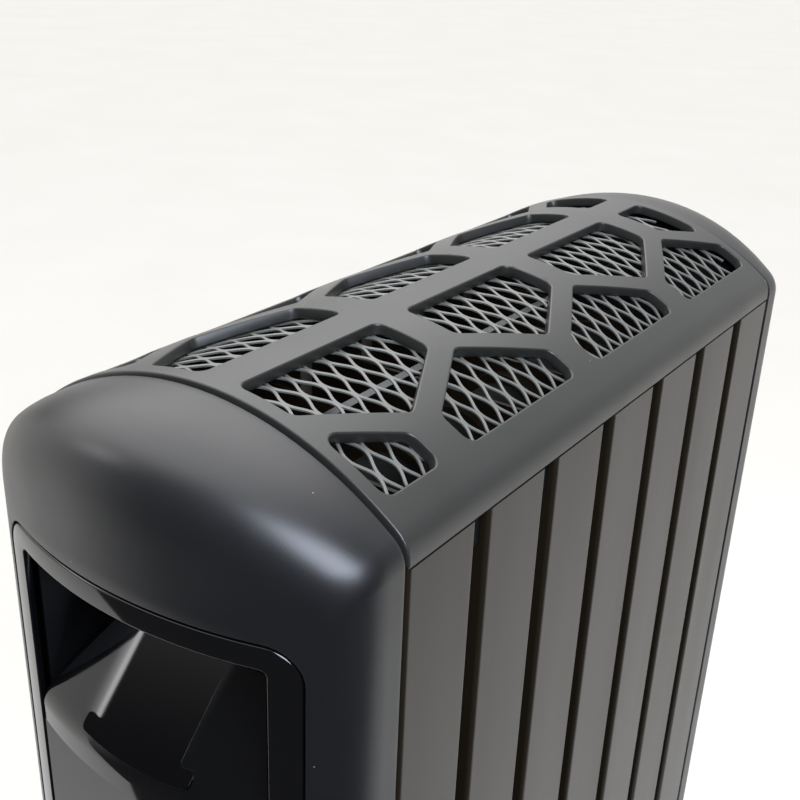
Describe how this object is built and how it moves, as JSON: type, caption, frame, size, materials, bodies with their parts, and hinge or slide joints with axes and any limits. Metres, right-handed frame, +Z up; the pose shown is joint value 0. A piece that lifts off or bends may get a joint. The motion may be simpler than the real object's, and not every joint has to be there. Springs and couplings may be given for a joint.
{
  "type": "oil-filled radiator",
  "caption": "Upright black oil-filled radiator on twin-wheel casters, with flat side strips, an arched mesh top cover and a front hand grip over a slanted display.",
  "frame": {"origin": "on the floor, at the middle of the footprint box", "axes": "+Z up, +Y from the control end to the rear, +X to the right of someone facing along +Y"},
  "size_m": [0.275, 0.4833, 0.665],
  "materials": {
    "matt_black_plastic": "fine matt texture",
    "gloss_black_plastic": "polished piano black",
    "dark_pocket_plastic": "satin, moulded",
    "smoked_lens": "polished, smoked",
    "black_coated_cover": "satin black coat",
    "black_mesh": "satin dark grey coat on expanded sheet",
    "black_coated_steel": "matt black coat",
    "inner_black_steel": "matt black coat",
    "plated_steel": "zinc plated",
    "fibre_gasket": "pressed fibre",
    "board_laminate": "solder mask",
    "moulded_component": "moulded",
    "black_nylon": "moulded nylon",
    "caster_wheel": "moulded, worn tread"
  },
  "bodies": {
    "heater": {"front_cap": "matt_black_plastic", "rear_cap": "matt_black_plastic", "rear_grip": "matt_black_plastic", "front_foot": "matt_black_plastic", "rear_foot": "matt_black_plastic", "control_bezel": "gloss_black_plastic", "front_panel": "gloss_black_plastic", "display_fascia": "gloss_black_plastic", "grip_pocket": "dark_pocket_plastic", "display_lens": "smoked_lens", "top_cover": "black_coated_cover", "top_mesh": "black_mesh", "fin_1": "black_coated_steel", "fin_2": "black_coated_steel", "fin_3": "black_coated_steel", "fin_4": "black_coated_steel", "fin_5": "black_coated_steel", "fin_6": "black_coated_steel", "fin_7": "black_coated_steel", "upper_headers": "inner_black_steel", "lower_headers": "inner_black_steel", "header_plugs": "inner_black_steel", "front_bulkhead": "inner_black_steel", "rear_bulkhead": "inner_black_steel", "cover_rails": "inner_black_steel", "base_rails": "inner_black_steel", "top_tie_bar": "plated_steel", "foot_screws": "plated_steel", "heating_element": "plated_steel", "element_flange": "plated_steel", "element_gasket": "fibre_gasket", "control_board": "board_laminate", "power_board": "board_laminate", "display_module": "moulded_component", "power_relays": "moulded_component", "terminal_block": "moulded_component", "board_standoffs": "moulded_component", "thermal_cutout": "moulded_component", "room_sensor": "moulded_component", "tip_over_switch": "moulded_component", "cord_gland": "black_nylon", "switch_body": "black_nylon"},
    "caster_front_left": {"caster_front_left_yoke": "black_nylon", "caster_front_left_axle": "plated_steel"},
    "caster_front_left_left_wheel": {"caster_front_left_left_wheel": "caster_wheel"},
    "caster_front_left_right_wheel": {"caster_front_left_right_wheel": "caster_wheel"},
    "caster_front_right": {"caster_front_right_yoke": "black_nylon", "caster_front_right_axle": "plated_steel"},
    "caster_front_right_left_wheel": {"caster_front_right_left_wheel": "caster_wheel"},
    "caster_front_right_right_wheel": {"caster_front_right_right_wheel": "caster_wheel"},
    "caster_rear_left": {"caster_rear_left_yoke": "black_nylon", "caster_rear_left_axle": "plated_steel"},
    "caster_rear_left_left_wheel": {"caster_rear_left_left_wheel": "caster_wheel"},
    "caster_rear_left_right_wheel": {"caster_rear_left_right_wheel": "caster_wheel"},
    "caster_rear_right": {"caster_rear_right_yoke": "black_nylon", "caster_rear_right_axle": "plated_steel"},
    "caster_rear_right_left_wheel": {"caster_rear_right_left_wheel": "caster_wheel"},
    "caster_rear_right_right_wheel": {"caster_rear_right_right_wheel": "caster_wheel"},
    "rocker": {"switch_rocker": "black_nylon"}
  },
  "joints": [
    {"name": "caster_front_left_swivel", "type": "hinge", "parent": "heater", "child": "caster_front_left", "pos_m": [-0.111, -0.20725, 0.044], "axis": [0, 0, 1], "continuous": true},
    {"name": "caster_front_left_left_roll", "type": "hinge", "parent": "caster_front_left", "child": "caster_front_left_left_wheel", "pos_m": [-0.111, -0.19325, 0.02], "axis": [1, 0, 0], "continuous": true},
    {"name": "caster_front_left_right_roll", "type": "hinge", "parent": "caster_front_left", "child": "caster_front_left_right_wheel", "pos_m": [-0.111, -0.19325, 0.02], "axis": [1, 0, 0], "continuous": true},
    {"name": "caster_front_right_swivel", "type": "hinge", "parent": "heater", "child": "caster_front_right", "pos_m": [0.111, -0.20725, 0.044], "axis": [0, 0, 1], "continuous": true},
    {"name": "caster_front_right_left_roll", "type": "hinge", "parent": "caster_front_right", "child": "caster_front_right_left_wheel", "pos_m": [0.111, -0.19325, 0.02], "axis": [1, 0, 0], "continuous": true},
    {"name": "caster_front_right_right_roll", "type": "hinge", "parent": "caster_front_right", "child": "caster_front_right_right_wheel", "pos_m": [0.111, -0.19325, 0.02], "axis": [1, 0, 0], "continuous": true},
    {"name": "caster_rear_left_swivel", "type": "hinge", "parent": "heater", "child": "caster_rear_left", "pos_m": [-0.111, 0.20725, 0.044], "axis": [0, 0, 1], "continuous": true},
    {"name": "caster_rear_left_left_roll", "type": "hinge", "parent": "caster_rear_left", "child": "caster_rear_left_left_wheel", "pos_m": [-0.111, 0.22125, 0.02], "axis": [1, 0, 0], "continuous": true},
    {"name": "caster_rear_left_right_roll", "type": "hinge", "parent": "caster_rear_left", "child": "caster_rear_left_right_wheel", "pos_m": [-0.111, 0.22125, 0.02], "axis": [1, 0, 0], "continuous": true},
    {"name": "caster_rear_right_swivel", "type": "hinge", "parent": "heater", "child": "caster_rear_right", "pos_m": [0.111, 0.20725, 0.044], "axis": [0, 0, 1], "continuous": true},
    {"name": "caster_rear_right_left_roll", "type": "hinge", "parent": "caster_rear_right", "child": "caster_rear_right_left_wheel", "pos_m": [0.111, 0.22125, 0.02], "axis": [1, 0, 0], "continuous": true},
    {"name": "caster_rear_right_right_roll", "type": "hinge", "parent": "caster_rear_right", "child": "caster_rear_right_right_wheel", "pos_m": [0.111, 0.22125, 0.02], "axis": [1, 0, 0], "continuous": true},
    {"name": "switch_rock", "type": "hinge", "parent": "heater", "child": "rocker", "pos_m": [0, -0.23145, 0.205], "axis": [1, 0, 0], "range_deg": [0, 16]}
  ]
}
